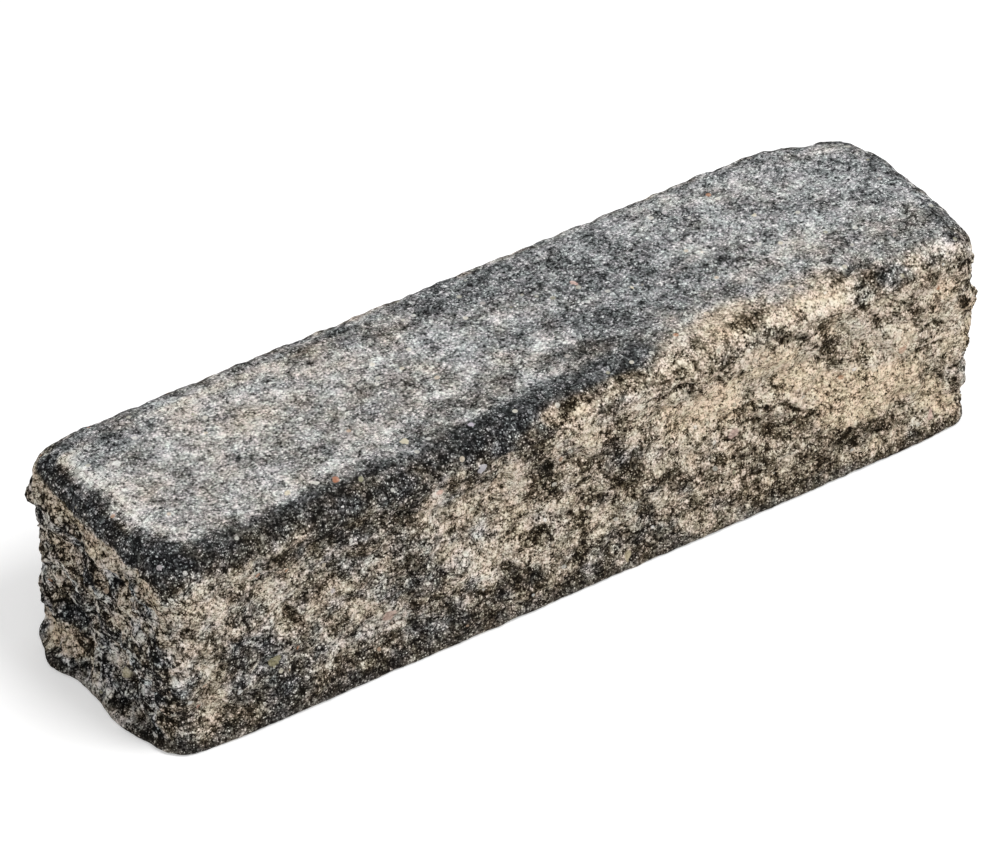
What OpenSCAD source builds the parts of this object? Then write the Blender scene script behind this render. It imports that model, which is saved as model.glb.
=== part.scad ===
// Palisade: a bar of face-mix concrete, cast whole, split along its sides and ends and then
// tumbled. The top is the moulded face with a rounded rim, the underside is flat, and the four
// upright faces are rock faces. It lies along X with its base on Z = 0.

/* [Block] */
// Length of the block
length = 600; // [300:10:1000]
// Width of the block
width = 158; // [100:2:200]
// Height of the block as it lies
height = 146; // [100:2:200]

/* [Edges] */
// How far the moulded rim reaches in over the top face
rim_in = 22; // [8:1:28]
// How far the moulded rim drops down the sides
rim_drop = 17; // [8:1:24]
// Radius of the worn edge round the base
base_r = 4; // [4:1:12]
// Radius of the four upright corners
corner_r = 17; // [8:1:20]

/* [Split faces] */
// Depth of the deepest hollows in the split faces
relief = 7; // [2:0.5:10]
// Length of the longest waves in the split faces
wave = 170; // [90:10:260]
// How far the left end is split out of square
left_skew = 5; // [0:1:12]
// How far the right end is split out of square
right_skew = 0; // [0:1:12]

/* [Detail] */
// Distance between points round the outline
step = 12; // [10:1:20]
// Rows of points between the base edge and the rim
rows = 8; // [6:1:12]

/* [Hidden] */

EDGE_STEPS = 3; // pieces in a rounded edge, seen in section
CORNER_STEPS = 3; // pieces that an upright corner is turned in
OCTAVES = 5; // sets of waves in a split face, each finer than the last
FINER = 1.63; // how much finer
FAINTER = 0.66; // and how much shallower
TURN = 137.5; // how far each set's heading is turned from the last, in degrees
TILT = 61; // and its tilt
FADE = 22; // height over which the rock face dies out under the rim
FOOT = 25; // height over which it dies down towards the base edge
BED_CUT = 3; // how far the rough solid reaches below the bed plane that trims it

// Pieces knocked off in handling: [where along and where across the block, each from -1 to 1,
// height of the middle of the chip, half its height, its reach round there, how deep it goes].
CHIPS = [
    [ 0.95, 1, 146, 60, 60, 17.5],
    [-1,   -1,   0, 50, 60,    4],
    [-1,    1,  70, 46, 55,    6],
    [ 1,   -1,   0, 55, 50,    5],
    [ 1,    1,   0, 40, 60,    8],
    [ 1,   -1, 146, 55, 50,    5],
    [-1,    1, 146, 40, 45,    5],
    [-1,    0,  62, 50, 78,    6],
];

// Toes left standing along the foot of the left end: [Y of the middle, half width, how far out]
TOES = [
    [ 42, 24, 6.5],
    [-31, 34, 3.8],
];
TOE_HEIGHT = 22; // height over which the toes die out

grey = [0.42, 0.42, 0.41];

// The spine is the line along the middle of the block that every upright face is cut back
// towards. It stops short of the ends, so that the four faces are cut back evenly.
spine_end = (length - width) / 2;
function spine(p) = [min(spine_end, max(-spine_end, p.x)), 0];

// Sum of a list of numbers
function total(list, i = 0) = i < len(list) ? list[i] + total(list, i + 1) : 0;

// Waves in a split face at a point, from about -1 to 1
function waves(p) =
    let (shares = [for (k = [0:OCTAVES - 1]) pow(FAINTER, k)])
    total([
        for (k = [0:OCTAVES - 1])
            let (
                turns = 360 * pow(FINER, k) / wave,
                along = p.x * cos(TURN * k) + p.y * sin(TURN * k),
                across = p.z * cos(TILT * k) + p.y * sin(TILT * k)
            )
            shares[k] * sin(turns * along + 75 * k) * cos(turns * across + 40 * k)
    ]) * 2 / total(shares);

// 1 at the middle of a span, easing to 0 at its ends
function swell(t) = abs(t) < 1 ? pow(cos(90 * t), 2) : 0;

// How deep the chips go at a point
function chipped(p) = total([
    for (c = CHIPS)
        let (away = norm([p.x - c[0] * length / 2, p.y - c[1] * width / 2]))
        c[5] * swell(away / c[4]) * swell((p.z - c[2]) / c[3])
]);

// How far the foot of the left end stands out at a point
function toed(p) =
    p.x > -spine_end ? 0
    : swell(p.z / TOE_HEIGHT) * total([for (t = TOES) t[2] * swell((p.y - t[0]) / t[1])]);

// How deep the rock face goes at a point. The moulded rim isn't split.
function rock(p) =
    relief * min(1, max(0, 0.35 + 0.6 * waves(p)))
        * min(1, max(0, (height - rim_drop - p.z) / FADE))
        * min(1, max(0, p.z) / FOOT);

// How far a point moves along X because the near half of each end is split out of square
function skewed(p) =
    (p.x < 0 ? left_skew : right_skew) * (2 * p.x / length) * min(0, 2 * p.y / width);

// How far the outline is drawn in by its worn base edge and moulded rim
function drawn_in(z) =
    z < base_r ? base_r - sqrt(max(0, pow(base_r, 2) - pow(base_r - z, 2)))
    : z > height - rim_drop
        ? rim_in * (1 - sqrt(max(0, 1 - pow((z - height + rim_drop) / rim_drop, 2))))
    : 0;

// The plain outline at a height, anticlockwise from the right front corner
function outline(z) =
    let (
        core = [length / 2, width / 2] - (drawn_in(z) + corner_r) * [1, 1],
        signs = [[1, -1], [1, 1], [-1, 1], [-1, -1]]
    )
    [for (side = [0:3])
        let (
            here = [core.x * signs[side].x, core.y * signs[side].y],
            next = signs[(side + 1) % 4],
            there = [core.x * next.x, core.y * next.y],
            gaps = round((side % 2 == 0 ? width : length) / step),
            facing = 90 * side
        )
        each concat(
            [for (i = [0:CORNER_STEPS - 1])
                let (a = facing - 90 + 90 * i / CORNER_STEPS)
                here + corner_r * [cos(a), sin(a)]],
            [for (i = [0:gaps - 1])
                here + (there - here) * i / gaps + corner_r * [cos(facing), sin(facing)]]
        )
    ];

// One ring of the solid: the outline at a height, cut back towards the spine
function ring(z) = [
    for (at = outline(z))
        let (
            p = [at.x, at.y, z],
            out = at - spine(at),
            cut = rock(p) + chipped(p)
        )
        concat(at - cut * out / norm(out) + [skewed(p) - toed(p), 0], z)
];

// Heights of the rings. None is at Z = 0, where the bed plane trims the rough solid.
LEVELS = concat(
    [-BED_CUT],
    [for (i = [1:EDGE_STEPS - 1]) base_r * (1 - cos(90 * i / EDGE_STEPS))],
    [for (i = [0:rows]) base_r + (height - rim_drop - base_r) * i / rows],
    [for (i = [1:EDGE_STEPS]) height - rim_drop + rim_drop * sin(90 * i / EDGE_STEPS)]
);

module palisade() {
    rings = [for (z = LEVELS) ring(z)];
    count = len(rings[0]);
    top = len(rings) - 1;
    // The caps close on the spine: one row of points below the base and one in the top face
    low_spine = [for (at = outline(LEVELS[0])) concat(spine(at), LEVELS[0])];
    high_spine = [for (at = outline(LEVELS[top])) concat(spine(at), LEVELS[top])];
    points = [for (r = concat([low_spine], rings, [high_spine])) each r];
    faces = [
        for (k = [0:top + 1], i = [0:count - 1])
            let (
                a = k * count + i,
                b = k * count + (i + 1) % count,
                c = a + count,
                d = b + count
            )
            each (i + k) % 2 == 0 ? [[a, d, b], [a, c, d]] : [[a, c, b], [b, c, d]]
    ];
    // A face between two equal points of the spine has no area, and is left out
    solid_faces = [
        for (f = faces)
            if (points[f[0]] != points[f[1]] && points[f[1]] != points[f[2]]
                && points[f[2]] != points[f[0]]) f
    ];
    color(grey)
        difference() {
            polyhedron(points = points, faces = solid_faces);
            // The bed plane, which trims the rough solid to its flat underside
            translate([-length, -width, -2 * BED_CUT])
                cube([2 * length, 2 * width, 2 * BED_CUT]);
        }
}

palisade();
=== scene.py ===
import math
import random

import bmesh
import bpy
from mathutils import Euler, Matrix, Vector, noise


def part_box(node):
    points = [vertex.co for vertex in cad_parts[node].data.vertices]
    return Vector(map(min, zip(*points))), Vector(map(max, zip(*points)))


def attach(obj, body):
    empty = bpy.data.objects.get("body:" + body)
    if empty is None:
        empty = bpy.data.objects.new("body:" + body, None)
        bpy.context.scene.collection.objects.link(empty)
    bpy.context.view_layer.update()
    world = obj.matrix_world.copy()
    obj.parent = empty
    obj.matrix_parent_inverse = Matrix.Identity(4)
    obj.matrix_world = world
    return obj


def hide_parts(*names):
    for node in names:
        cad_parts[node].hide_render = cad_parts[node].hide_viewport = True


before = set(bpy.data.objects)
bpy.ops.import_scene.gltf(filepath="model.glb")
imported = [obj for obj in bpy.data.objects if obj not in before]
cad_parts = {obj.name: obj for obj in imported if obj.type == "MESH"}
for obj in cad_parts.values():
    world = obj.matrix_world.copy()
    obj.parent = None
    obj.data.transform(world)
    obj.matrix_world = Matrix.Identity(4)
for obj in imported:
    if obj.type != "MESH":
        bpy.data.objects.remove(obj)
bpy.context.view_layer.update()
scene = bpy.context.scene

# ---------------------------------------------------------------------------------------------
# Block
# One bar of concrete, cast in a mould that gives the top face and its rounded rim. Its four
# upright faces are split to rock faces, and then it is tumbled, which knocks pieces off its
# corners. Sizes are in millimetres until the mesh is finished.
# ---------------------------------------------------------------------------------------------

MM = 0.001
corner = Vector(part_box("palisade")[1]) / MM
HALF = corner.xy  # the toes of the left end stand out beyond this
LENGTH, WIDTH, HEIGHT = 2 * HALF.x, 2 * HALF.y, corner.z

GRID = 1.86  # distance between vertices
RIM_IN = 22  # how far the moulded rim reaches in over the top
RIM_DROP = 17  # and how far it drops down the sides
SPLIT_TOP = HEIGHT - RIM_DROP  # the rock faces end here, under the rim
BASE_R = 4  # the worn edge round the base
CORNER_R = 17  # the four upright corners
TURN_IN = RIM_IN + CORNER_R  # where a corner's turn begins, from the block's ends and sides
BED_ROWS = 5  # rows of grid kept round the flat underside

bm = bmesh.new()
bmesh.ops.create_cube(bm, size=1)
bmesh.ops.scale(bm, verts=bm.verts, vec=(LENGTH, WIDTH, HEIGHT))
bmesh.ops.translate(bm, verts=bm.verts, vec=(0, 0, HEIGHT / 2))
for axis, size in enumerate((LENGTH, WIDTH, HEIGHT)):
    lengthwise = [e for e in bm.edges if abs((e.verts[0].co - e.verts[1].co)[axis]) > GRID]
    bmesh.ops.subdivide_edges(bm, edges=lengthwise, cuts=round(size / GRID) - 1,
                              use_grid_fill=True)


def edge_distance(co):
    """How far a point of the plain bar is from the nearest upright face."""
    return min(HALF.x - abs(co.x), HALF.y - abs(co.y))


bed = [f for f in bm.faces
       if f.normal.z < -0.5 and edge_distance(f.calc_center_median()) > BED_ROWS * GRID]
bmesh.ops.dissolve_faces(bm, faces=bed, use_verts=True)

# Colour fields. "light" says how much of the pale mix there is, from dark to pale, and "warm"
# says how much of it is sand rather than grey. "moulded" is 1 on the smooth top, less on its worn
# rim, 0 where the block is split and below 0 on its ends, which are the roughest. "crack" is 1 in
# a crack, where "light" is lowered, partly for a darker mix and partly as painted shade, "pebble"
# is 1 at the middle of a pebble and 0.5 at its edge, and "stone" is its colour. The swirls also put
# some painted light and shade into "light".
light = bm.verts.layers.float.new("light")
warm = bm.verts.layers.float.new("warm")
moulded = bm.verts.layers.float.new("moulded")
crack = bm.verts.layers.float.new("crack")
pebble = bm.verts.layers.float.new("pebble")
stone = bm.verts.layers.float_color.new("stone")

# The six faces of the bar are laid out on one sheet, for a pattern that follows the surface:
# three long strips, and below them the two ends, turned, and the underside at half size.
SHEET = 622  # the sheet's side
GAP = 3  # between the faces on it
BACK_ROW = WIDTH + HEIGHT + 2 * GAP
END_ROW = BACK_ROW + HEIGHT + GAP
bake_map = bm.loops.layers.uv.new("OFBake")
for face in bm.faces:
    n = face.normal.copy()
    for loop in face.loops:
        x, y, z = loop.vert.co
        across, deep = x + HALF.x, y + HALF.y
        if n.z > 0.5:
            u, v = across, deep
        elif n.y < -0.5:
            u, v = across, WIDTH + GAP + z
        elif n.y > 0.5:
            u, v = across, BACK_ROW + z
        elif n.x < -0.5:
            u, v = z, END_ROW + deep
        elif n.x > 0.5:
            u, v = HEIGHT + GAP + z, END_ROW + deep
        else:
            u, v = 2 * (HEIGHT + GAP) + across / 2, END_ROW + deep / 2
        loop[bake_map].uv = ((u + GAP) / SHEET, (v + GAP) / SHEET)


def drawn_in(co, margin, inset, radius):
    """Plan position, on the outline drawn in by inset and with its corners turned at radius, of
    a point of the bar that is margin in from its upright faces."""
    run, side = (1, 0) if HALF.x - abs(co.x) < HALF.y - abs(co.y) else (0, 1)
    spot = [0, 0]
    spot[run] = abs(co[run])
    spot[side] = HALF[side] - inset
    leg = TURN_IN - margin
    to_corner = HALF[run] - margin - abs(co[run])
    if to_corner < leg:
        straight = TURN_IN - inset - radius
        path = (1 - to_corner / leg) * (straight + radius * math.pi / 4)
        turn = max(0, path - straight) / radius if radius else 0
        spot[run] = HALF[run] - TURN_IN + min(path, straight) + radius * math.sin(turn)
        spot[side] -= radius * (1 - math.cos(turn))
    return math.copysign(spot[0], co.x), math.copysign(spot[1], co.y)


def turned_edge(margin, away, reach, drop):
    """A rounded edge, reach in and drop along: how far in and how far from the flat face a point
    goes that is margin in from the upright face and away from the flat one, and how tight the
    corners are there."""
    share = (1 - away / drop) / 2 if margin <= 0 else min(1, 0.5 + margin / reach / 2)
    turn = share * math.pi / 2
    inset = max(margin, reach) if share == 1 else reach * (1 - math.cos(turn))
    return inset, drop * (1 - math.sin(turn)), max(0, CORNER_R - max(0, margin - reach))


def worn(co):
    """Where a point of the plain bar goes once the rim, base edge and corners are rounded."""
    margin = edge_distance(co)
    if HEIGHT - co.z < RIM_DROP:
        inset, sunk, radius = turned_edge(margin, HEIGHT - co.z, RIM_IN, RIM_DROP)
        z = HEIGHT - sunk
    elif co.z < BASE_R:
        inset, z, radius = turned_edge(margin, co.z, BASE_R, BASE_R)
    else:
        inset, z, radius = 0, co.z, CORNER_R
    return Vector((*drawn_in(co, max(0, margin), inset, radius), z))


# The broad relief of the split faces, the chips and the toes are those of the solid model
RELIEF = 7  # depth of the deepest hollows
WAVE = 170  # length of the longest waves
OCTAVES = 5  # sets of waves, each finer than the last
FINER = 1.63  # how much finer
FAINTER = 0.66  # and how much shallower
TURN = math.radians(137.5)  # how far each set's heading is turned from the last
TILT = math.radians(61)  # and its tilt
FADE = 22  # height over which the rock face dies out under the rim
FOOT = 25  # height over which it dies down towards the base edge
CALM = 40  # distance from the spine over which all relief dies out
LEFT_SKEW = 5  # how far the near half of the left end is split out of square
# Pieces knocked off: [where along, where across, middle height, half height, reach, depth]
CHIPS = (
    (0.95, 1, 146, 60, 60, 17.5),
    (-1, -1, 0, 50, 60, 4),
    (-1, 1, 70, 46, 55, 6),
    (1, -1, 0, 55, 50, 5),
    (1, 1, 0, 40, 60, 8),
    (1, -1, 146, 55, 50, 5),
    (-1, 1, 146, 40, 45, 5),
    (-1, 0, 62, 50, 78, 6),
)
# Toes left standing along the foot of the left end: [across, half width, how far out]
TOES = (
    (42, 24, 6.5),
    (-31, 34, 3.8),
)
TOE_HEIGHT = 22  # height over which the toes die out


def clamp(value, least=0.0, most=1.0):
    return max(least, min(most, value))


def swell(t):
    """1 at the middle of a span, easing to 0 at its ends."""
    return math.cos(t * math.pi / 2) ** 2 if abs(t) < 1 else 0.0


def ease(t):
    """0 below 0 and 1 above 1, with a smooth rise between."""
    t = clamp(t)
    return t * t * (3 - 2 * t)


def waves(p):
    """Waves in a split face at a point, from about -1 to 1."""
    total = 0
    for k in range(OCTAVES):
        turns = 2 * math.pi * FINER ** k / WAVE
        along = p.x * math.cos(TURN * k) + p.y * math.sin(TURN * k)
        across = p.z * math.cos(TILT * k) + p.y * math.sin(TILT * k)
        total += (FAINTER ** k * math.sin(turns * along + math.radians(75 * k))
                  * math.cos(turns * across + math.radians(40 * k)))
    return 2 * total / sum(FAINTER ** k for k in range(OCTAVES))


def broad_cut(p):
    """How deep the rock face and the chips go at a point."""
    rock = (RELIEF * clamp(0.35 + 0.6 * waves(p)) * clamp((SPLIT_TOP - p.z) / FADE)
            * clamp(p.z / FOOT))
    chips = sum(
        depth * swell(math.dist((p.x, p.y), (along * HALF.x, across * HALF.y)) / reach)
        * swell((p.z - middle) / half)
        for along, across, middle, half, reach, depth in CHIPS)
    return rock + chips


def toed(p):
    """How far the foot of the left end stands out at a point."""
    if p.x > WIDTH / 2 - HALF.x:
        return 0
    return swell(p.z / TOE_HEIGHT) * sum(
        out * swell((p.y - across) / reach) for across, reach, out in TOES)


def toward_spine(p):
    """Level direction and distance from a point to the spine along the middle of the block."""
    spine = Vector((clamp(p.x, WIDTH / 2 - HALF.x, HALF.x - WIDTH / 2), 0))
    way = spine - p.xy
    return way.normalized(), way.length


def skewed(p):
    """How far a point moves along X because the left end is split out of square."""
    return LEFT_SKEW * min(0, p.x / HALF.x) * min(0, p.y / HALF.y)


# Each vertex's place on the plain bar is kept for the finer relief and the colours
plain = {v: v.co.copy() for v in bm.verts}
for v in bm.verts:
    p = worn(v.co)
    way, distance = toward_spine(p)
    cut = broad_cut(p) * clamp(distance / CALM)
    v.co = Vector((*(p.xy + way * cut), p.z)) + Vector((skewed(p) - toed(p), 0, 0))

# The axes along and up the sheet of each face, the axis it faces and which way
SHEETS = {
    "top": (0, 1, 2, 1),
    "front": (0, 2, 1, -1),
    "left": (1, 2, 0, -1),
    "back": (0, 2, 1, 1),
    "right": (1, 2, 0, 1),
    "under": (0, 1, 2, -1),
}
MIDDLE = Vector((0, 0, HEIGHT / 2))
HALF_SIZE = Vector((LENGTH, WIDTH, HEIGHT)) / 2


def depth_under(face, p):
    """How far a point of the plain bar lies under one of its faces."""
    _, _, facing, side = SHEETS[face]
    return HALF_SIZE[facing] - side * (p - MIDDLE)[facing]


def unfolded(face, home, p):
    """Where a point on the face home lies on another face's sheet, folded out flat round it."""
    along, up, facing, _ = SHEETS[face]
    spot = [p[along], p[up]]
    if face != home:
        _, _, home_facing, home_side = SHEETS[home]
        spot[0 if home_facing == along else 1] += home_side * depth_under(face, p)
    return spot


# The face of the plain bar that each vertex is on
homes = {v: min(SHEETS, key=lambda face: depth_under(face, plain[v])) for v in bm.verts}

# Finer relief: lumps and crevices where the block is split, then single grains. The moulded
# face has only the fine texture of the mould.
LUMPS = (  # size, depth
    (46, 1.5),
    (21, 1.5),
    (10, 1.4),
    (5.2, 1.0),
)
CREVICES = (  # size, depth, how narrow
    (34, 3.0, 7),
    (15, 1.8, 6),
)
GRAIN_DEPTH = 0.56  # single grains, where the block is split
MOULD_DEPTH = 0.16  # the fine texture of the mould
LEDGE = 2.6  # how far a ledge stands out along the left end, above a groove as deep
LEDGE_AT = 119  # its height


def rock_noise(p, size, seed):
    """Noise whose features are about size millimetres across, from about -1 to 1."""
    return noise.noise(p / size + Vector((seed, 2.3 * seed, -seed)))


def split_share(p):
    """1 on the split faces and 0 on the moulded top and the underside."""
    wander = 3 * rock_noise(p, 16, 4) + 1.5 * rock_noise(p, 6, 5)
    return ease((SPLIT_TOP + 4 + wander - p.z) / 6) * ease(p.z / 12)


def end_share(p):
    """1 on the two ends, dying out round their upright corners."""
    return ease((abs(p.x) - HALF.x + 25) / 20)


def fine_relief(p):
    """How far a point stands out from the broad shape."""
    split = split_share(p)
    end = end_share(p)
    height = MOULD_DEPTH * (rock_noise(p, 3.1, 9) + 1.2 * rock_noise(p, 1.7, 8))
    on_rim = ease((RIM_IN - edge_distance(p)) / 8) * (1 - split)
    on_rim *= 1 if p.z > HEIGHT / 2 else 0.4  # the base edge is worn less than the rim
    height += on_rim * (1.3 * rock_noise(p, 14, 6) + 0.9 * rock_noise(p, 6, 7))
    if split > 0:
        rough = 0
        for k, (size, depth) in enumerate(LUMPS):
            rough += depth * rock_noise(p, size, k + 11)
        for k, (size, depth, narrow) in enumerate(CREVICES):
            line = abs(rock_noise(p, size, k + 31))
            gate = ease(0.5 + 2.5 * rock_noise(p, 2.1 * size, k + 41))
            rough -= depth * gate * math.exp(-narrow * line)
        rough += GRAIN_DEPTH * (rock_noise(p, 2.3, 51) + rock_noise(p, 1.3, 52))
        height += split * (1 + 0.8 * end) * rough
        if p.x < 0:
            above = p.z - LEDGE_AT - 3 * rock_noise(p, 30, 55)
            reach = end * ease((HALF.y - 6 - abs(p.y)) / 16)
            height += reach * (LEDGE * swell((above + 1) / 11) - LEDGE * swell((above + 16) / 12))
    return height


# Cracks and pits on each face's sheet, put where the real block has them: from (along, up) to
# (along, up), half the width, and depth
CRACKS = {
    "front": (
        (108, 85, 125, 84, 2.4, 2.2), (125, 84, 140, 76, 2.4, 2.2), (140, 76, 152, 75, 2.2, 2.0),
        (152, 75, 160, 66, 2.2, 2.2), (160, 66, 176, 57, 2.0, 2.0), (122, 94, 142, 92, 2.2, 2.0),
        (142, 92, 152, 86, 1.8, 1.6), (132, 62, 146, 57, 3.2, 2.6), (146, 57, 170, 60, 2.0, 1.8),
        (143, 131, 153, 124, 2.6, 2.4), (153, 124, 168, 121, 2.0, 2.0),
        (168, 121, 178, 124, 1.8, 1.6), (180, 108, 185, 106, 5.0, 3.6), (50, 125, 78, 124, 1.6, 1.4),
        (80, 141, 85, 130, 2.0, 1.8), (58, 112, 66, 110, 2.2, 1.8), (66, 108, 84, 112, 1.8, 1.6),
        (20, 132, 25, 116, 1.8, 1.6), (25, 116, 24, 100, 1.8, 1.6), (-6, 141, -5, 120, 1.8, 1.8),
        (36, 90, 40, 76, 3.0, 2.4), (22, 76, 36, 62, 2.0, 1.8), (99, 120, 102, 104, 1.8, 1.6),
        (-52, 48, -40, 52, 2.6, 2.4), (-40, 52, -30, 60, 2.6, 2.4), (-55, 42, -50, 30, 3.0, 2.6),
        (-38, 28, -35, 20, 2.8, 2.4), (-128, 86, -129, 74, 2.4, 2.4), (-129, 74, -123, 62, 2.0, 2.0),
        (-213, 79, -207, 70, 4.4, 3.2), (-136, 120, -128, 116, 3.2, 2.4), (-105, 72, -103, 58, 1.8, 1.8),
        (-25, 112, -24, 96, 2.4, 2.2), (-5, 82, 4, 84, 1.8, 1.8), (102, 90, 104, 80, 2.6, 2.0),
        (104, 56, 112, 52, 1.8, 1.6), (196, 34, 203, 32, 3.0, 2.2), (203, 25, 222, 23, 1.8, 1.8),
        (222, 20, 228, 12, 2.6, 2.2), (206, 27, 202, 14, 1.6, 1.6), (250, 75, 275, 74, 1.4, 1.4),
        (214, 112, 224, 100, 1.6, 1.4), (236, 118, 246, 108, 2.0, 1.8), (210, 122, 222, 108, 1.8, 1.6),
        (256, 92, 282, 86, 1.6, 1.4), (262, 112, 268, 102, 1.8, 1.8), (-12, 143, -8, 142, 3.4, 2.2),
        (150, 72, 158, 70, 1.8, 1.6), (120, 74, 134, 68, 1.8, 1.4), (174, 100, 176, 94, 2.4, 2.0),
    ),
    "left": (
        (54, 86, 44, 86, 2.6, 2.6), (44, 86, 31, 92, 2.4, 2.6), (48, 46, 36, 44, 5.0, 3.4),
        (36, 44, 22, 50, 4.0, 3.0), (37, 39, 25, 38, 6.0, 4.0), (4, 29, 2, 18, 3.0, 2.6),
        (-3, 26, -14, 25, 2.4, 1.4), (-27, 24, -32, 26, 3.6, 3.0), (-42, 92, -46, 82, 3.0, 2.8),
        (-52, 84, -63, 76, 3.0, 2.8), (14, 118, 13, 106, 3.0, 2.8), (8, 101, 0, 98, 3.0, 2.8),
        (30, 132, 20, 131, 2.4, 2.2), (66, 102, 58, 98, 4.0, 3.4), (-24, 116, -36, 112, 2.2, 2.2),
        (-40, 118, -52, 122, 2.6, 2.4), (-22, 12, -32, 17, 4.0, 3.2), (-40, 10, -56, 8, 3.4, 2.8),
        (-30, 64, -44, 67, 3.0, 2.6), (16, 14, 20, 8, 4.0, 3.0), (-50, 63, -63, 58, 3.0, 2.6),
        (-60, 50, -48, 34, 2.6, 2.4), (58, 68, 48, 62, 3.0, 2.4),
        (4, 74, 14, 86, 2.4, 2.2), (30, 80, 20, 70, 2.0, 2.0),
    ),
    "top": (
        (205, -62, 212, -58, 5.0, 3.6), (218, -66, 222, -62, 3.0, 2.4), (248, -52, 250, -50, 2.4, 2.0),
        (20, -74, 22, -72, 2.4, 2.0), (-14, -76, -10, -76, 3.0, 2.2),
    ),
}
# Pebbles worn bare: where they lie on the sheet of a face, radius and colour
PEBBLES = {
    "top": (
        (-166, -58, 2.6, (0.46, 0.19, 0.10)), (-178, -52, 2.6, (0.72, 0.70, 0.64)),
        (-152, -66, 2.2, (0.34, 0.33, 0.22)), (-196, -52, 2.6, (0.66, 0.58, 0.42)),
        (-262, 28, 2.8, (0.80, 0.80, 0.76)), (-70, -58, 2.2, (0.60, 0.55, 0.62)),
        (-112, -50, 2.2, (0.72, 0.66, 0.50)), (60, 20, 2.2, (0.66, 0.46, 0.40)),
        (86, -2, 1.8, (0.74, 0.68, 0.52)), (190, 16, 2.0, (0.74, 0.68, 0.54)),
    ),
    "front": (
        (-282, 32, 2.6, (0.56, 0.33, 0.25)), (-224, 46, 4.4, (0.42, 0.38, 0.23)),
        (-250, 33, 2.0, (0.84, 0.83, 0.80)), (-106, 124, 2.6, (0.62, 0.40, 0.33)),
        (-76, 129, 3.0, (0.66, 0.63, 0.66)), (-141, 42, 4.6, (0.60, 0.42, 0.35)),
        (34, 10, 3.6, (0.58, 0.50, 0.34)), (112, 69, 4.0, (0.56, 0.40, 0.35)),
        (236, 83, 3.4, (0.58, 0.38, 0.28)), (266, 18, 4.0, (0.62, 0.44, 0.38)),
    ),
    "left": (
        (-43, 31, 2.6, (0.72, 0.72, 0.68)), (-22, 32, 4.0, (0.58, 0.52, 0.36)),
    ),
}


def from_segment(a, b, a0, b0, a1, b1):
    """Distance from a point to the line between two others, all on a face's sheet."""
    da, db = a1 - a0, b1 - b0
    share = clamp(((a - a0) * da + (b - b0) * db) / (da * da + db * db))
    return math.hypot(a - a0 - share * da, b - b0 - share * db)


def close_to(a, b, a0, b0, a1, b1, reach):
    """Whether a point may be within reach of the line between two others."""
    return (min(a0, a1) - reach < a < max(a0, a1) + reach
            and min(b0, b1) - reach < b < max(b0, b1) + reach)


CRACK_REACH = 8  # no crack shows further than this from its line

# The relief, the cracks and the pebbles stand along the normals of the broad shape, so no vertex
# moves before all are worked out. The flat underside stays flat.
bm.normal_update()
moved = {}
for v in bm.verts:
    p = v.co
    home = homes[v]
    a, b = unfolded(home, home, plain[v])
    a += 2.2 * rock_noise(p, 6, 71)
    b += 2.2 * rock_noise(p, 6, 72)
    sink = 0
    for a0, b0, a1, b1, half_width, depth in CRACKS.get(home, ()):
        if close_to(a, b, a0, b0, a1, b1, CRACK_REACH):
            ragged = half_width * (1 + 0.7 * rock_noise(p, 4, 73))
            open_here = ease(1.3 - from_segment(a, b, a0, b0, a1, b1) / ragged)
            sink = max(sink, depth * open_here)
            v[crack] = max(v[crack], open_here)
    for along, up, radius, colour in PEBBLES.get(home, ()):
        away = math.hypot(a - along, b - up)
        if away < 3 * radius:
            v[pebble] = 1 - away / (2 * radius)
            v[stone] = (*colour, 1)
            sink -= 0.5 * ease(1.5 - away / radius)
    if p.z > 0.01:
        moved[v] = p + v.normal * (fine_relief(p) - sink)
for v, co in moved.items():
    v.co = co
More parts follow.
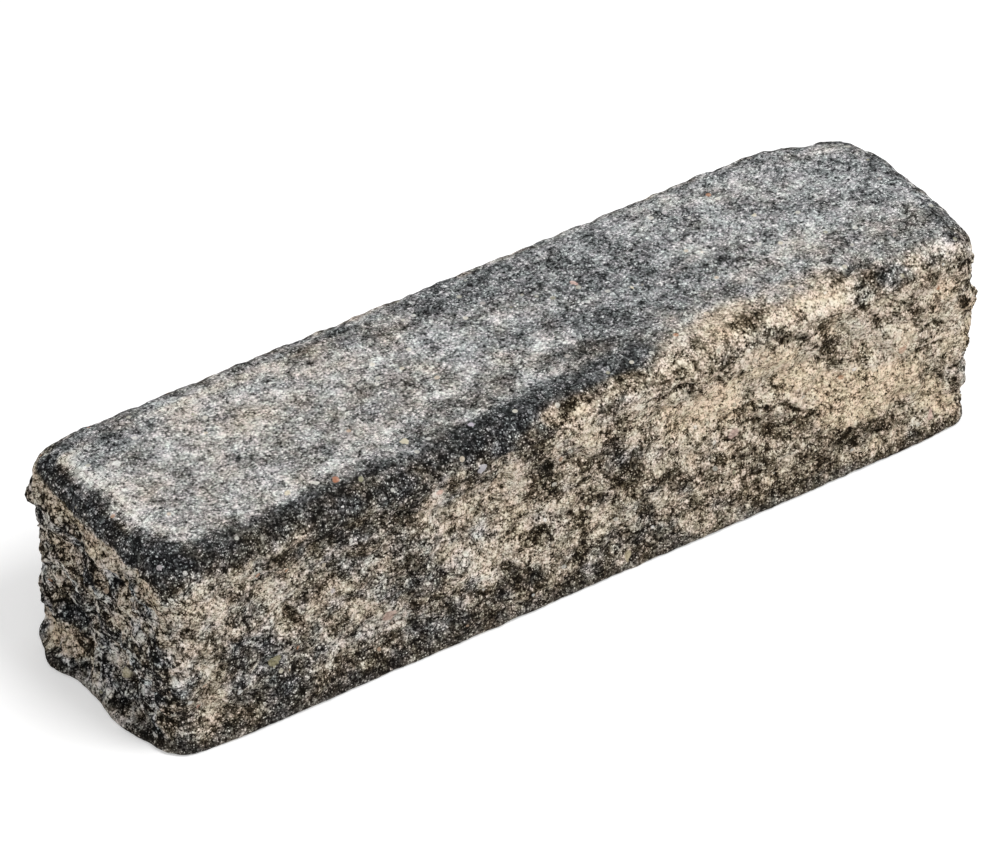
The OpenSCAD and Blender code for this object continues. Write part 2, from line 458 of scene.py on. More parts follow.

# Swirls of the mixed concrete: from (along, up) to (along, up), radius, lighter and warmer.
# Above HEIGHT a swirl of the front carries on over the rim. The swirls of the front, the top and
# the left end were placed and corrected against measured tones of the real block, cell by cell,
# so these three lists are nearer to data than to a design. So they hold some painted light and
# shade besides the mix's own colour. They are lighter where the lamp here lights a face less than
# the real block was lit, as on the left end, and darker over some of its deeply shaded hollows.
FRONT = (
    (-260, 75, -120, 75, 95, -0.03, -0.14),
    (130, 75, 260, 75, 95, 0.09, 0.14),
    (-300, 112, -262, 112, 22, 0.14, 0.10),
    (-290, 136, -278, 136, 8, 0.24, 0.06),
    (-274, 75, -268, 25, 14, 0.12, 0.10),
    (-230, 100, -218, 92, 13, 0.38, 0.10),
    (-192, 96, -180, 92, 11, -0.16, 0.00),
    (-195, 80, -165, 82, 10, 0.12, 0.10),
    (-172, 66, -152, 46, 11, 0.22, 0.08),
    (-172, 31, -134, 30, 11, 0.16, 0.04),
    (-116, 114, -106, 108, 11, 0.10, 0.05),
    (-297, 116, -290, 114, 8, 0.20, 0.05),
    (-217, 137, -206, 136, 8, 0.24, 0.10),
    (-122, 98, -84, 95, 10, 0.24, 0.06),
    (-92, 66, -72, 56, 18, 0.18, 0.12),
    (-76, 46, -68, 35, 12, 0.32, 0.08),
    (-90, 98, -62, 86, 20, 0.01, 0.08),
    (-50, 112, -47, 92, 13, 0.31, 0.00),
    (-60, 74, -40, 72, 12, 0.10, 0.05),
    (-26, 48, -18, 30, 13, 0.12, 0.05),
    (-34, 58, -24, 54, 9, -0.26, -0.05),
    (-32, 74, -22, 70, 9, 0.24, 0.00),
    (-56, 56, -46, 52, 9, 0.26, 0.02),
    (-3, 138, 4, 112, 12, 0.24, 0.14),
    (40, 128, 58, 112, 16, 0.22, 0.12),
    (68, 98, 102, 98, 22, 0.54, 0.24),
    (104, 117, 114, 114, 9, -0.30, 0.00),
    (124, 118, 146, 114, 18, 0.38, 0.13),
    (150, 105, 175, 78, 18, 0.14, 0.18),
    (190, 62, 236, 58, 26, 0.23, 0.40),
    (210, 96, 240, 84, 20, 0.17, 0.02),
    (186, 118, 234, 116, 11, 0.14, -0.02),
    (151, 77, 160, 72, 9, 0.20, 0.05),
    (274, 98, 282, 78, 14, 0.38, 0.00),
    (204, 13, 236, 12, 11, 0.20, 0.20),
    (262, 38, 284, 14, 14, 0.12, 0.25),
    (72, 19, 90, 13, 12, 0.24, 0.08),
    (82, 37, 92, 33, 10, 0.40, 0.05),
    (68, 40, 72, 37, 8, 0.20, 0.00),
    (30, 35, 35, 33, 8, 0.20, 0.00),
    (86, 56, 98, 52, 9, -0.16, -0.05),
    (15, 50, 26, 38, 12, 0.16, 0.00),
    (4, 77, 16, 72, 9, 0.20, 0.00),
    (70, 150, 112, 160, 26, 0.18, 0.28),
    (112, 160, 190, 158, 24, 0.19, 0.26),
    (-20, 146, 40, 148, 12, 0.10, 0.30),
    (-300, 156, -80, 153, 16, -0.56, -0.05),
    (-84, 146, -46, 144, 12, -0.42, -0.05),
    (-82, 127, -70, 118, 10, -0.20, -0.08),
    (-76, 156, -40, 158, 18, -0.46, -0.15),
    (-26, 152, -20, 152, 9, 0.30, 0.10),
    (-40, 160, 52, 164, 20, -0.42, -0.15),
    (90, 150, 132, 153, 11, -0.38, 0.00),
    (104, 138, 134, 136, 10, -0.08, -0.05),
    (20, 138, 56, 137, 9, -0.16, -0.04),
    (170, 146, 194, 141, 12, 0.38, 0.12),
    (224, 148, 238, 138, 11, -0.22, -0.10),
    (242, 139, 258, 136, 9, 0.18, -0.05),
    (-285, 142, -60, 140, 12, -0.32, -0.05),
    (-190, 136, -60, 134, 12, -0.24, -0.05),
    (-60, 136, -36, 124, 13, -0.20, -0.05),
    (-60, 138, -26, 136, 10, -0.30, -0.12),
    (-28, 104, -14, 86, 12, -0.24, -0.05),
    (-98, 136, -86, 135, 9, 0.44, 0.08),
    (-142, 128, -126, 120, 10, -0.26, -0.05),
    (-212, 124, -176, 121, 13, -0.34, -0.05),
    (-162, 118, -146, 114, 11, -0.26, -0.05),
    (-174, 97, -150, 100, 10, -0.14, 0.00),
    (-300, 106, -298, 66, 12, 0.26, 0.10),
    (-298, 44, -294, 10, 12, -0.26, -0.05),
    (-214, 74, -206, 68, 9, 0.10, 0.05),
    (-250, 60, -215, 40, 22, -0.14, -0.10),
    (-238, 54, -226, 50, 10, -0.18, 0.00),
    (-255, 18, -90, 16, 20, -0.14, -0.05),
    (-176, 18, -90, 16, 16, -0.14, 0.00),
    (-118, 75, -108, 69, 9, -0.20, 0.00),
    (-116, 46, -92, 36, 16, -0.20, -0.05),
    (-132, 88, -122, 62, 12, -0.16, -0.05),
    (-134, 97, -126, 95, 8, -0.20, 0.00),
    (-279, 78, -271, 77, 8, -0.18, 0.00),
    (-297, 12, -292, 10, 8, -0.16, 0.00),
    (-8, 97, -2, 96, 8, -0.18, 0.00),
    (-44, 34, -36, 20, 11, -0.14, -0.05),
    (-33, 18, -25, 17, 8, 0.20, 0.00),
    (27, 14, 35, 13, 8, 0.18, 0.00),
    (18, 92, 32, 76, 16, -0.24, -0.05),
    (62, 60, 76, 50, 11, -0.40, -0.12),
    (44, 34, 50, 32, 8, -0.20, 0.00),
    (47, 60, 53, 58, 8, -0.20, -0.04),
    (65, 139, 71, 138, 8, -0.20, 0.00),
    (30, 118, 20, 108, 10, -0.14, 0.00),
    (64, 91, 78, 88, 10, -0.50, -0.10),
    (100, 84, 126, 90, 8, -0.05, 0.00),
    (131, 88, 139, 86, 8, 0.16, 0.00),
    (126, 52, 154, 52, 12, -0.20, -0.05),
    (160, 52, 192, 34, 10, -0.22, 0.00),
    (148, 128, 160, 120, 8, -0.16, 0.00),
    (178, 112, 184, 104, 8, -0.18, 0.00),
    (190, 94, 198, 92, 8, -0.22, 0.00),
    (246, 57, 253, 55, 8, -0.18, 0.00),
    (197, 32, 228, 27, 12, -0.28, -0.05),
    (205, 140, 265, 134, 15, -0.16, -0.06),
    (-80, 22, 60, 14, 22, -0.17, -0.05),
    (80, 34, 180, 18, 24, -0.18, -0.05),
    (-300, 3, 300, 3, 9, -0.22, -0.05),
)
# The same for the top, from (along, across) to (along, across)
TOP = (
    (-290, 48, -286, -20, 17, 0.26, 0.10),
    (-289, 6, -287, -38, 9, 0.32, 0.00),
    (-272, -61, -256, -65, 8, -0.18, 0.00),
    (-246, 40, -246, -60, 22, -0.07, 0.00),
    (-275, 42, -235, 52, 16, -0.12, -0.12),
    (-205, 42, -170, 10, 26, 0.04, 0.05),
    (-190, 18, -185, 12, 14, 0.04, 0.02),
    (-194, -4, -186, -10, 12, 0.16, 0.00),
    (-180, -10, -105, -6, 36, -0.10, 0.00),
    (-250, 62, -100, 60, 14, 0.04, 0.10),
    (-130, 46, -95, 40, 14, 0.05, 0.05),
    (-120, 56, -58, 50, 14, -0.20, 0.00),
    (-105, -48, -20, -32, 13, -0.20, 0.00),
    (-182, -58, -106, -54, 12, -0.18, -0.05),
    (-48, 22, -30, 12, 14, 0.08, 0.00),
    (-72, -8, -58, -14, 12, -0.16, 0.00),
    (-92, -61, -56, -63, 11, -0.34, 0.00),
    (-141, 41, -133, 41, 10, -0.14, 0.00),
    (-168, -36, -160, -36, 10, -0.12, 0.00),
    (-117, 14, -109, 14, 10, 0.12, 0.00),
    (-30, 56, 90, 50, 22, -0.16, -0.14),
    (-20, 22, 100, 2, 46, -0.14, -0.10),
    (2, -34, 38, -37, 12, -0.18, 0.00),
    (4, 18, 18, 12, 11, 0.14, 0.00),
    (26, 40, 42, 32, 14, -0.08, 0.00),
    (38, -10, 62, -40, 22, -0.16, -0.10),
    (40, 6, 50, 2, 12, 0.06, 0.00),
    (80, 46, 90, 38, 13, 0.16, 0.00),
    (6, -22, 14, -16, 12, 0.08, 0.00),
    (40, -46, 270, -50, 30, -0.10, 0.00),
    (70, -20, 200, -25, 26, -0.03, 0.00),
    (100, 20, 250, 20, 60, -0.08, -0.14),
    (108, -2, 138, 12, 14, 0.12, 0.12),
    (158, 60, 172, 44, 10, 0.10, 0.08),
    (152, -8, 168, -12, 12, -0.16, 0.00),
    (152, -60, 170, -63, 10, -0.16, -0.15),
    (190, 44, 215, 24, 16, 0.06, 0.05),
    (150, -24, 205, -18, 18, 0.08, 0.04),
    (196, 22, 210, 14, 10, -0.10, 0.00),
    (262, 30, 286, -20, 22, -0.02, -0.10),
    (194, -58, 198, -66, 8, -0.36, 0.00),
    (116, -66, 140, -66, 10, -0.20, 0.00),
    (256, -61, 268, -60, 9, -0.16, 0.00),
    (257, -11, 265, -11, 10, -0.12, 0.00),
    (156, 38, 164, 38, 10, -0.12, 0.00),
    (133, -36, 141, -36, 10, -0.12, 0.00),
    (-300, 68, -60, 68, 12, -0.02, -0.08),
    (-100, 71, 250, 71, 13, 0.09, 0.00),
)
# The same for the left end, from (across, up) to (across, up). The lamp here lights it less than
# the real block was lit, so its swirls are painted lighter, painted light besides the sand and grey
# of the mix, most of all along the pale ledge under the rim.
LEFT = (
    (74, 129, 20, 127, 9, 0.32, 0.25),
    (12, 124, -50, 125, 10, 0.46, 0.30),
    (4, 132, -14, 131, 7, 0.40, 0.12),
    (-50, 125, -66, 122, 9, 0.52, 0.20),
    (-62, 122, -74, 110, 12, 0.50, 0.30),
    (-58, 112, -68, 105, 9, 0.40, 0.20),
    (-4, 116, -18, 113, 8, 0.44, 0.12),
    (60, 116, 50, 108, 9, 0.12, 0.00),
    (31, 100, 24, 94, 8, 0.14, 0.10),
    (29, 86, 18, 83, 7, 0.50, 0.00),
    (-25, 112, -32, 109, 8, 0.56, 0.46),
    (60, 97, 55, 86, 8, 0.45, 0.00),
    (-30, 99, -39, 96, 9, 0.24, 0.25),
    (-60, 96, -72, 88, 9, 0.08, 0.15),
    (-26, 84, -50, 83, 10, 0.42, 0.10),
    (36, 90, 18, 78, 14, 0.07, 0.25),
    (12, 76, 6, 70, 8, 0.56, 0.05),
    (-14, 70, -50, 69, 9, 0.78, 0.08),
    (62, 62, 39, 54, 11, 0.54, 0.10),
    (16, 45, 8, 44, 7, 0.36, 0.05),
    (-13, 41, -25, 42, 9, 0.26, 0.24),
    (2, 48, -5, 46, 6, -0.20, 0.00),
    (-44, 43, -50, 44, 7, 0.28, 0.10),
    (14, 32, 8, 28, 8, 0.64, 0.00),
    (-44, 31, -50, 30, 7, 0.36, 0.00),
    (-7, 30, -15, 28, 8, 0.46, 0.22),
    (72, 18, 33, 22, 13, 0.64, 0.46),
    (68, 16, 44, 14, 8, 0.34, 0.30),
    (8, 12, -8, 13, 8, 0.60, 0.15),
    (-30, 12, -38, 12, 8, 0.64, 0.00),
    (-34, 4, -44, 3, 7, -0.30, 0.00),
    (-64, 22, -68, 19, 6, 0.20, 0.10),
    (6, 154, -79, 154, 15, -0.60, -0.10),
    (40, 149, 6, 151, 11, -0.50, -0.05),
    (66, 146, 40, 148, 8, -0.50, -0.05),
    (66, 141, -79, 140, 12, -0.56, -0.15),
    (38, 116, 32, 108, 8, -0.14, 0.00),
    (-36, 116, -56, 112, 8, -0.20, 0.00),
    (7, 102, 6, 88, 8, -0.16, 0.00),
    (-4, 91, -15, 96, 7, -0.32, 0.00),
    (44, 86, 40, 84, 7, -0.14, 0.00),
    (-66, 80, -70, 56, 10, -0.24, 0.05),
    (30, 60, 20, 52, 8, -0.28, 0.00),
    (46, 45, 24, 44, 9, -0.42, -0.05),
    (64, 37, 30, 38, 8, -0.26, -0.08),
    (-2, 60, -16, 54, 8, -0.18, -0.05),
    (-34, 58, -62, 58, 9, -0.22, -0.05),
    (-30, 27, -36, 27, 7, -0.16, -0.05),
    (24, 26, 20, 11, 8, -0.38, 0.00),
    (-15, 22, -28, 16, 9, -0.40, -0.05),
    (-46, 17, -70, 8, 9, -0.34, -0.05),
    (-12, 12, -20, 11, 6, -0.28, -0.10),
    (27, 4, 17, 3, 7, 0.24, 0.00),
    (52, 24, 46, 23, 6, 0.22, 0.00),
    (-2, 101, -8, 101, 7, 0.26, 0.00),
    (-68, 45, -68, 27, 8, -0.46, -0.08),
    (-6, 35, -10, 34, 6, 0.28, 0.05),
    (64, 6, 30, 3, 8, -0.36, 0.00),
    (18, 51, 12, 51, 7, -0.38, 0.00),
    (-38, 2, -60, 1, 8, -0.34, 0.00),
    (47, 76, 43, 74, 7, 0.18, 0.04),
    (59, 139, 55, 138, 6, 0.18, 0.00),
    (-20, 6, -24, 6, 6, 0.18, 0.00),
)
HIDDEN_SWIRLS = 26  # on the back, thrown at random, and a third as many on the right end

chance = random.Random(7)


def thrown(count, reach, rise):
    """Swirls thrown at random, for a face that has no list of its own."""
    # Each such face is also made darker along its foot and along its rim.
    swirls = [(-reach, 152, reach, 152, 18, -0.14, -0.10), (-reach, 4, reach, 4, 9, -0.2, -0.1)]
    for _ in range(count):
        a, b = chance.uniform(-reach, reach), chance.uniform(0, rise)
        lean = chance.uniform(-0.9, 0.9)
        span = chance.uniform(10, 60)
        amount = chance.choice((-0.2, -0.15, 0.2, 0.25))
        swirls.append((a, b, a + span * math.cos(lean), b + span * math.sin(lean),
                       chance.uniform(12, 30), amount, 0.6 * amount))
    return swirls


BACK = thrown(HIDDEN_SWIRLS, HALF.x, HEIGHT)
RIGHT = thrown(HIDDEN_SWIRLS // 3, HALF.y, HEIGHT)


def swirl_sum(swirls, a, b):
    """How much lighter and how much warmer the swirls make a point of a face's sheet."""
    lighter = warmer = 0
    for a0, b0, a1, b1, radius, gain, heat in swirls:
        if close_to(a, b, a0, b0, a1, b1, radius):
            here = ease(1.5 * (1 - from_segment(a, b, a0, b0, a1, b1) / radius))
            lighter += gain * here
            warmer += heat * here
    return lighter, warmer


BASE_LIGHT = {"top": 0.60, "front": 0.54, "left": 0.44, "back": 0.46, "right": 0.46, "under": 0.4}
BASE_WARM = {"top": 0.41, "front": 0.76, "left": 0.53, "back": 0.70, "right": 0.65, "under": 0.5}
SWIRLS = {"top": TOP, "front": FRONT, "left": LEFT, "back": BACK, "right": RIGHT, "under": ()}
MIX = 16  # how far the colour of one face carries on round an edge
DEEPEST = 0.6  # the most that swirls lying over each other can add or take away
RIM_WEAR = 0.8  # how much of its smoothness the moulded rim has lost
END_ROUGHNESS = 0.95  # how much rougher the ends are than the sides
# A crack's colour is darkened partly for the darker mix in it and partly as painted shade.
CRACK_PAINTED_SHADE = 0.36  # how much darker a crack is
WRAP = 60  # how far the swirls of one face carry on over the next


def limited(total):
    """A sum of swirls, held to what the mix can show."""
    return DEEPEST * math.tanh(total / DEEPEST)


# The swirls are bent about as they were stirred, and less so near the moulded face
for v in bm.verts:
    p = v.co
    bend = Vector((rock_noise(p, 22, 61) * 6 + rock_noise(p, 8, 62) * 4,
                   rock_noise(p, 22, 63) * 6 + rock_noise(p, 8, 64) * 4))
    bend *= 1 - 0.6 * ease((plain[v].z - 95) / 20)
    home = homes[v]
    shares = {}
    lighter = warmer = 0
    for face in SHEETS:
        depth = depth_under(face, plain[v])
        shares[face] = max(0, 1 - (depth + bend.x) / MIX) if depth < 2 * MIX else 0
        opposite = SHEETS[face][2] == SHEETS[home][2] and face != home
        if depth < WRAP and not opposite:
            along, up = unfolded(face, home, plain[v])
            gain, heat = swirl_sum(SWIRLS[face], along + bend.x, up + bend.y)
            lighter += gain
            warmer += heat
    shares[home] = max(shares[home], 0.01)
    whole = sum(shares.values())
    # The darkening in the cracks is partly painted shade.
    v[light] = (limited(lighter) - CRACK_PAINTED_SHADE * v[crack]
                + sum(BASE_LIGHT[f] * shares[f] for f in shares) / whole)
    v[warm] = warmer + sum(BASE_WARM[f] * shares[f] for f in shares) / whole
    on_rim = ease((12 - edge_distance(plain[v])) / 10) * ease((p.z - HEIGHT / 2) / 20)
    split = split_share(p)
    v[moulded] = 1 - split * (1 + END_ROUGHNESS * end_share(p)) - RIM_WEAR * on_rim * (1 - split)

for face in bm.faces:
    face.smooth = True
bmesh.ops.scale(bm, verts=bm.verts, vec=(MM, MM, MM))
mesh = bpy.data.meshes.new("palisade_block")
bm.to_mesh(mesh)
bm.free()
block = bpy.data.objects.new("palisade_block", mesh)
scene.collection.objects.link(block)
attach(block, "root")
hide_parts("palisade")

# The concrete is pale sand, grey cement and anthracite pigment, only half stirred together. Every
# grain shows where the block is split, and tumbling has worn the moulded top.
concrete = bpy.data.materials.new("mottled_concrete")
concrete.use_nodes = True
tree = concrete.node_tree
nodes, links = tree.nodes, tree.links
shader = nodes["Principled BSDF"]
shader.inputs["Specular IOR Level"].default_value = 0.08


def feed(socket, value):
    """Gives a socket a link, a number, a vector or a colour."""
    if hasattr(value, "is_linked"):
        links.new(value, socket)
    else:
        socket.default_value = (*value, 1) if socket.type == "RGBA" else value


def put(kind, **values):
    """A node with the given properties, and with the given values in its sockets."""
    node = nodes.new("ShaderNode" + kind)
    for name, value in values.items():
        if hasattr(node, name):
            setattr(node, name, value)
        else:
            feed(node.inputs[name.replace("_", " ")], value)
    return node


def calc(operation, *values, kind="Math"):
    node = put(kind, operation=operation)
    for socket, value in zip(node.inputs, values):
        feed(socket, value)
    return node.outputs[0]


def field(name):
    return put("Attribute", attribute_name=name).outputs["Fac"]


place = put("TexCoord").outputs["Object"]


def shifted(seed, at=place):
    """The point on the block, moved along so that no two layers of noise are alike."""
    return calc("ADD", at, (seed * 1.7, seed * 0.9, seed * -1.3), kind="VectorMath")


def cloudy(size, detail, roughness, seed, at=place):
    """Noise whose largest features are size millimetres across, about 0 on average."""
    node = put("TexNoise", Vector=shifted(seed, at), Scale=1 / (size * MM), Detail=detail,
               Roughness=roughness)
    return calc("SUBTRACT", node.outputs["Fac"], 0.5)


def cells(size, at, feature="F1"):
    """The surface broken into cells of size millimetres."""
    return put("TexVoronoi", feature=feature, Vector=at, Scale=1 / (size * MM))


def between(value, low_end, high_end):
    """0 below the low end, 1 above the high end, eased between them."""
    return put("MapRange", interpolation_type="SMOOTHSTEP", Value=value, From_Min=low_end,
               From_Max=high_end).outputs["Result"]


def ramp(value, stops):
    """The colour at a value, between stops of position and colour."""
    node = put("ValToRGB", Fac=value)
    while len(node.color_ramp.elements) < len(stops):
        node.color_ramp.elements.new(1)
    for element, (position, colour) in zip(node.color_ramp.elements, stops):
        element.position = position
        element.color = (*colour, 1)
    return node.outputs["Color"]


def blend(share, a, b, kind="MIX"):
    """The colour a with a share of the colour b mixed in, or multiplied by it."""
    node = put("Mix", data_type="RGBA", blend_type=kind)
    for socket, value in zip((node.inputs[0], node.inputs[6], node.inputs[7]), (share, a, b)):
        feed(socket, value)
    return node.outputs[2]


pale, sandy, smooth_top = field("light"), field("warm"), field("moulded")

# The concrete was drawn out along this way as it was pressed into the mould
PRESSED = Vector((0.5, 0.5, -0.7))
drawn_out = put("Mapping", vector_type="TEXTURE", Vector=place, Scale=(1, 1, 1.9),
                Rotation=PRESSED.to_track_quat("Z", "Y").to_euler()).outputs["Vector"]

clumps = cloudy(13, 3, 0.9, 1, drawn_out)
# Dark curving lines: painted shade of fine crevices between the grains.
crevice_shade_lines = between(calc("ABSOLUTE", cloudy(9, 2, 0.55, 8, drawn_out)), 0.05, 0.0)
crevice_shade_lines = calc("MULTIPLY", crevice_shade_lines, between(cloudy(17, 2, 0.6, 9), -0.05, 0.12))


def grains(size, seed):
    """Round grains of size millimetres, each of its own shade, about 0 on average."""
    grain = cells(size, shifted(seed))
    shade = calc("SUBTRACT", put("SeparateColor", Color=grain.outputs["Color"]).outputs[0], 0.5)
    return calc("MULTIPLY", shade, between(grain.outputs["Distance"], 0.62, 0.22))


def pores(size, seed, share):
    """Round pores, 1 at their middle, in a share of the cells of size millimetres."""
    pore = cells(size, shifted(seed))
    chosen = calc("LESS_THAN", put("SeparateColor", Color=pore.outputs["Color"]).outputs[1], share)
    return calc("MULTIPLY", chosen, between(pore.outputs["Distance"], 0.34, 0.16))


def lumps(size, seed):
    """Broken lumps of size millimetres: how high they stand, and the crevices between them."""
    sway = put("TexNoise", Vector=shifted(seed + 3), Scale=0.8 / (size * MM), Detail=2)
    bent = calc("MULTIPLY_ADD", sway.outputs["Color"], (1.1 * size * MM,) * 3, shifted(seed),
                kind="VectorMath")
    dome = cells(size, bent).outputs["Distance"]
    gap = cells(size, bent, "DISTANCE_TO_EDGE").outputs["Distance"]
    height = calc("SUBTRACT", between(dome, 0.75, 0.1), 0.5)
    return calc("SUBTRACT", height, between(gap, 0.13, 0.0))


# The lumps show where the block is split, and where the sand is laid bare on the moulded rim
rugged = calc("MAXIMUM", calc("SUBTRACT", 1, smooth_top), between(sandy, 0.5, 0.8))
# Their tops are painted lighter and their crevices darker in the colour, painted light and shade that
# goes with the relief that the same field gives in the bump.
lump_relief_and_shade = calc("ADD", calc("MULTIPLY", lumps(8, 21), 0.16), calc("MULTIPLY", lumps(3.6, 22), 0.13))
lump_relief_and_shade = calc("MULTIPLY", calc("ADD", lump_relief_and_shade, 0.08), rugged)
gravel, coarse_sand, fine_sand = grains(4.2, 2), grains(2.1, 3), grains(1.1, 4)
# Dark pores: painted shade in small holes in the surface.
pore_shade = calc("ADD", pores(3.2, 5, 0.3), pores(1.7, 6, 0.3))
# Pale specks painted into the colour as glints, painted highlights.
glints = pores(2.2, 7, 0.16)

# How much of the pale mix shows at a point. Its patches are drawn towards a dark and a pale tone,
# which makes their edges crisp, and the grains show within them. Dark pores and dark crevice lines
# are painted shade, pale glints are painted highlights, and the lumps are painted lighter on their
# tops and darker in their crevices, as painted light and shade.
CLUMPING = 2.2
DARK_TONE, PALE_TONE = 0.17, 0.86
CRISPNESS = 0.62
LAYERS = (  # and how much lighter each makes the mix
    (gravel, 0.6),
    (coarse_sand, 0.95),
    (fine_sand, 1.6),
    (crevice_shade_lines, -0.4),
    (pore_shade, -0.5),
    (glints, 0.42),
    (lump_relief_and_shade, 1.0),
)
patchiness = calc("SUBTRACT", 1, calc("MULTIPLY", smooth_top, 0.5))
patches = calc("ADD", pale, calc("MULTIPLY", calc("MULTIPLY", clumps, CLUMPING), patchiness))
crisp = calc("MULTIPLY", between(patches, 0.2, 0.8), PALE_TONE - DARK_TONE)
crisp = calc("SUBTRACT", calc("ADD", DARK_TONE, crisp), patches)
crisp = calc("MULTIPLY", crisp, calc("MULTIPLY", patchiness, CRISPNESS))
patches = calc("ADD", patches, crisp)
rough_mix = 0
for layer, gain in LAYERS:
    rough_mix = calc("ADD", rough_mix, calc("MULTIPLY", layer, gain))
rough_mix = calc("ADD", rough_mix, 0.07)  # what the holes and veins take away on the whole
contrast = calc("SUBTRACT", 0.97, calc("MULTIPLY", smooth_top, 0.20))
amount = calc("ADD", patches, calc("MULTIPLY", rough_mix, contrast))
amount = calc("ADD", calc("MULTIPLY", amount, 0.8), 0.1)

# The colours from none of the pale mix to nothing else, where it is sand and where it is grey
SAND = (
    (0.00, (0.0075, 0.0048, 0.0018)),
    (0.10, (0.0165, 0.0115, 0.0055)),
    (0.30, (0.080, 0.062, 0.039)),
    (0.50, (0.234, 0.194, 0.144)),
    (0.70, (0.486, 0.410, 0.318)),
    (0.90, (0.755, 0.655, 0.535)),
    (1.00, (0.835, 0.750, 0.640)),
)
GREY = (
    (0.00, (0.0038, 0.0042, 0.0045)),
    (0.10, (0.0100, 0.0108, 0.0112)),
    (0.30, (0.0575, 0.061, 0.0630)),
    (0.50, (0.195, 0.203, 0.208)),
    (0.70, (0.422, 0.435, 0.440)),
    (0.90, (0.742, 0.757, 0.760)),
    (1.00, (0.845, 0.855, 0.850)),
)
warmth = calc("MULTIPLY", calc("MULTIPLY", cloudy(22, 2, 0.6, 5), 1.1), patchiness)
warmth = calc("ADD", sandy, warmth)
mixed = blend(between(warmth, 0.2, 0.85), ramp(amount, GREY), ramp(amount, SAND))

# Where there is hardly anything but sand, it turns to cream
CREAM = (1.05, 0.995, 0.90)
mixed = blend(between(warmth, 0.8, 1.25), mixed, CREAM, "MULTIPLY")

# Every patch leans a little to pink or to olive
PINK = (1.04, 0.985, 1.00)
OLIVE = (0.97, 1.01, 0.985)
tint = blend(between(cloudy(8, 3, 0.8, 10), -0.16, 0.16), OLIVE, PINK)
mixed = blend(1.0, mixed, tint, "MULTIPLY")

# The listed pebbles, and others scattered through the mix, in any of these colours
STONES = (
    (0.00, (0.50, 0.24, 0.13)),
    (0.25, (0.78, 0.72, 0.58)),
    (0.50, (0.80, 0.79, 0.76)),
    (0.75, (0.40, 0.38, 0.26)),
    (1.00, (0.55, 0.50, 0.53)),
)
STONE_SIZE = 6.5
STONE_SHARE = 0.06  # of the cells of that size hold a bare pebble
scattered = cells(STONE_SIZE, shifted(12))
stone_dice = put("SeparateColor", Color=scattered.outputs["Color"])
bare = calc("MULTIPLY", calc("LESS_THAN", stone_dice.outputs[1], STONE_SHARE),
            between(scattered.outputs["Distance"], 0.3, 0.24))
mixed = blend(calc("MULTIPLY", bare, 0.6), mixed, ramp(stone_dice.outputs[0], STONES))
laid = put("Attribute", attribute_name="stone").outputs["Color"]
edge = calc("ADD", field("pebble"), calc("MULTIPLY", coarse_sand, 0.3))
laid_share = calc("MULTIPLY", between(edge, 0.44, 0.6), 0.72)
feed(shader.inputs["Base Color"], blend(laid_share, mixed, laid))

bumps = calc("ADD", calc("MULTIPLY", coarse_sand, 0.7), calc("MULTIPLY", lump_relief_and_shade, 3.0))
bump = put("Bump", Strength=0.8, Distance=0.9 * MM, Height=bumps)
feed(shader.inputs["Normal"], bump.outputs["Normal"])
rough = put("MapRange", Value=calc("ADD", smooth_top, fine_sand), To_Min=0.93, To_Max=0.78)
feed(shader.inputs["Roughness"], rough.outputs["Result"])
mesh.materials.append(concrete)

# ---------------------------------------------------------------------------------------------
# Floor
# A plain pale floor with a matt face. It is plain white where the camera sees it, apart from
# the shadow that the block throws on it.
# ---------------------------------------------------------------------------------------------

FLOOR_SIZE = 12
FLOOR_GLOW = 0.35

floor_mesh = bpy.data.meshes.new("floor")
bm = bmesh.new()
bmesh.ops.create_grid(bm, x_segments=2, y_segments=2, size=FLOOR_SIZE / 2)
bm.to_mesh(floor_mesh)
bm.free()
floor = bpy.data.objects.new("floor", floor_mesh)
scene.collection.objects.link(floor)

paper = bpy.data.materials.new("pale_floor")
paper.use_nodes = True
tree = paper.node_tree
nodes, links = tree.nodes, tree.links
shader = nodes["Principled BSDF"]
shader.inputs["Base Color"].default_value = (0.8, 0.8, 0.8, 1)
shader.inputs["Roughness"].default_value = 0.9
shader.inputs["Specular IOR Level"].default_value = 0.0
shader.inputs["Emission Color"].default_value = (1, 1, 1, 1)


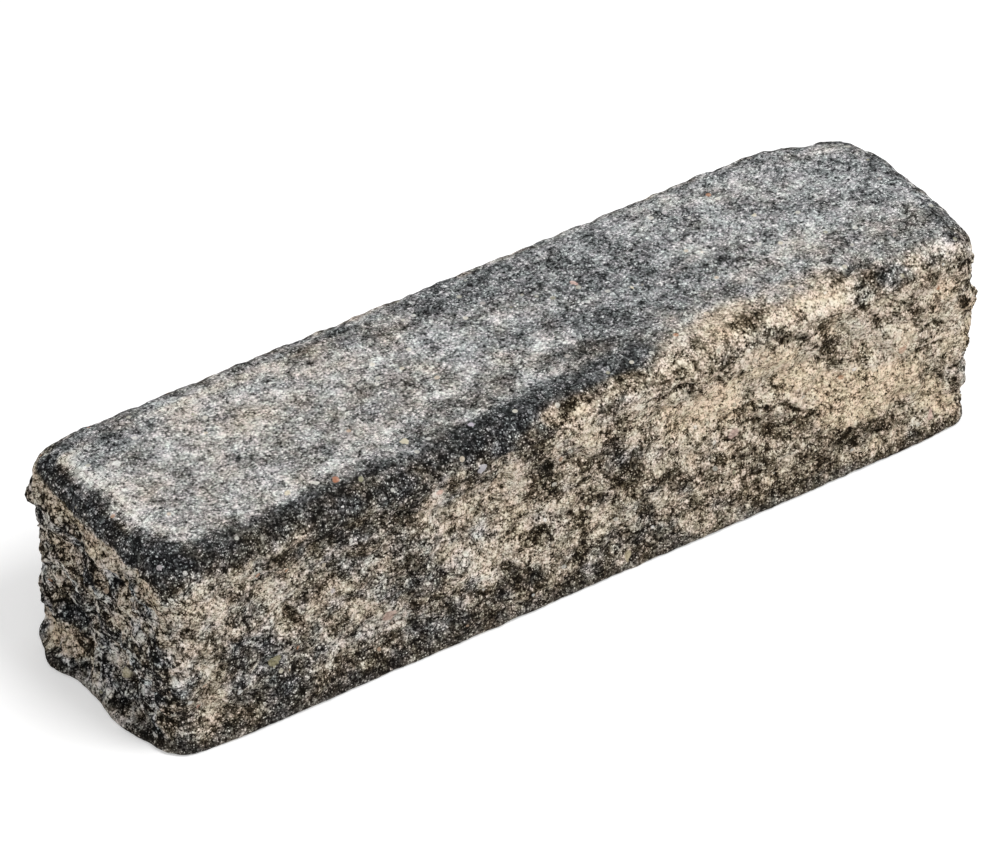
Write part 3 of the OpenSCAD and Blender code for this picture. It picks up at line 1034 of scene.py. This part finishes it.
def shown():
    """1 for a ray from the camera, or one that a surface mirrors or lets through."""
    rays = put("LightPath").outputs
    mirrored = calc("MAXIMUM", rays["Is Glossy Ray"], rays["Is Transmission Ray"])
    return calc("MAXIMUM", rays["Is Camera Ray"], mirrored)


feed(shader.inputs["Emission Strength"], calc("MULTIPLY", shown(), FLOOR_GLOW))
floor_mesh.materials.append(paper)

# ---------------------------------------------------------------------------------------------
# Light
# An even pale surround, which is white where the camera sees it, and one large soft lamp, above
# and to the right of the block's front.
# ---------------------------------------------------------------------------------------------

SURROUND = 0.62
LAMP_AT = Vector((0.4, -1.2, 2.4))
LAMP_SIZE = 1.0
LAMP_POWER = 42

world = bpy.data.worlds.new("studio")
scene.world = world
world.use_nodes = True
tree = world.node_tree
nodes, links = tree.nodes, tree.links
surround = nodes["Background"]
surround.inputs["Color"].default_value = (1, 1, 1, 1)
strength = put("MapRange", Value=shown(), To_Min=SURROUND, To_Max=1.0)
feed(surround.inputs["Strength"], strength.outputs["Result"])

lamp_data = bpy.data.lights.new("softbox", "AREA")
lamp_data.size = LAMP_SIZE
lamp_data.energy = LAMP_POWER
lamp = bpy.data.objects.new("softbox", lamp_data)
lamp.location = LAMP_AT
lamp.rotation_euler = LAMP_AT.to_track_quat("Z", "Y").to_euler()
scene.collection.objects.link(lamp)

# ---------------------------------------------------------------------------------------------
# Camera
# A long lens, from above and to the left of the block's front, and far enough off that the
# block's long edges hardly draw together.
# ---------------------------------------------------------------------------------------------

# These five were fitted to the edges of the real block by least squares
AZIMUTH, ELEVATION = -34.116, 38.356
DISTANCE = 4.8508
ASIDE, RAISED = -0.00704, 0.00058  # how far it stands to the side of that line, and above it
LENS = 288

camera_data = bpy.data.cameras.new("camera")
camera_data.lens = LENS
camera = bpy.data.objects.new("camera", camera_data)
turn = Euler((math.radians(90 - ELEVATION), 0, math.radians(AZIMUTH)))
camera.rotation_euler = turn
camera.location = (Vector((0, 0, HEIGHT * MM / 2))
                   + turn.to_matrix() @ Vector((ASIDE, RAISED, DISTANCE)))
scene.collection.objects.link(camera)
scene.camera = camera
scene.view_settings.view_transform = "Standard"
